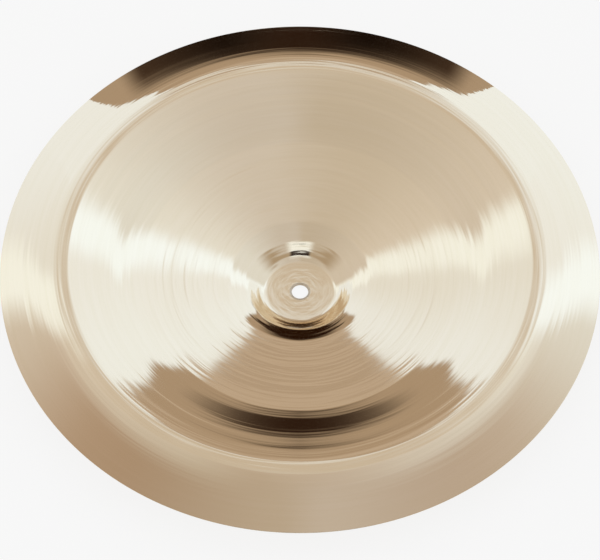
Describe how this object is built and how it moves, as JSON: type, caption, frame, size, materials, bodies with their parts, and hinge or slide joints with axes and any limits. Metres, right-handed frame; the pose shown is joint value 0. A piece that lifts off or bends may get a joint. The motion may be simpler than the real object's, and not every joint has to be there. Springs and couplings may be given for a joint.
{
  "type": "china cymbal",
  "caption": "China cymbal: a lathed bronze disc with a cupped bell, an S-shaped bow with a broad crest and a turned-back flange, lying hollow side up.",
  "frame": {"origin": "centre of the bell's flat outer face, on the axis of the central bore", "axes": "+Z along the bore, out of the hollow side; the disc is round about Z, and it lies bell down as pictured"},
  "size_m": [0.4572, 0.4572, 0.0441],
  "materials": {
    "bronze": "cast tin bronze, fine concentric lathe grooves, polished bright"
  },
  "bodies": {
    "root": {"cymbal": "bronze"}
  },
  "joints": []
}
